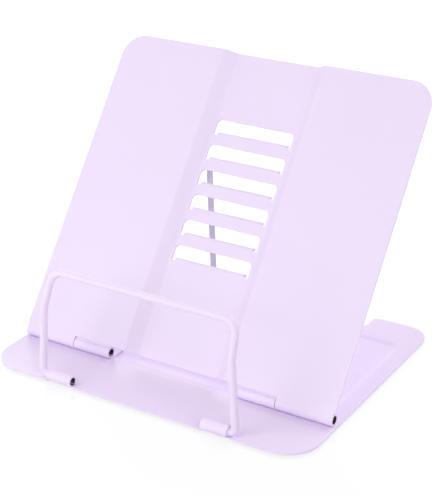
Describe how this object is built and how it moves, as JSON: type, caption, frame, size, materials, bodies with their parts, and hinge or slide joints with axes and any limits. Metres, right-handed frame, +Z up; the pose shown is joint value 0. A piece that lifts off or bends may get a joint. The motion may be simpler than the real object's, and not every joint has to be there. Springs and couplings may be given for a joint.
{
  "type": "book stand",
  "caption": "Folding sheet-steel book stand: hinged back plate with a slotted channel, base with rolled knuckles, wire page holder and wire prop.",
  "frame": {"origin": "on the table, below the middle of the stand", "axes": "+X across the stand to the reader's right, +Y from the front edge to the back, +Z up"},
  "size_m": [0.211, 0.171, 0.1649],
  "materials": {
    "powder_coat": "smooth satin powder coat, pale lilac",
    "pin_steel": "plain drawn steel, seen only inside the hinge tubes",
    "silicone_pad": "matt translucent silicone"
  },
  "bodies": {
    "base": {"base_plate": "powder_coat", "hinge_pin_left": "pin_steel", "hinge_pin_right": "pin_steel", "foot_front_left": "silicone_pad", "foot_front_right": "silicone_pad", "foot_rear_left": "silicone_pad", "foot_rear_right": "silicone_pad"},
    "plate": {"back_plate": "powder_coat"},
    "holder": {"page_holder": "powder_coat"},
    "prop": {"support_prop": "powder_coat"}
  },
  "joints": [
    {"name": "plate_fold", "type": "hinge", "parent": "base", "child": "plate", "pos_m": [0, -0.0441, 0.0063], "axis": [1, 0, 0], "range_deg": [-49, 23.5]},
    {"name": "prop_swing", "type": "hinge", "parent": "base", "child": "prop", "pos_m": [0, 0.0649, 0.00485], "axis": [1, 0, 0], "range_deg": [-99.5, 48]},
    {"name": "holder_swing", "type": "hinge", "parent": "base", "child": "holder", "pos_m": [0, -0.082, 0.0051], "axis": [1, 0, 0], "range_deg": [-32, 88]}
  ],
  "couplings": [
    {"joint": "prop_swing", "follows": "plate_fold", "ratio": 2.03}
  ]
}
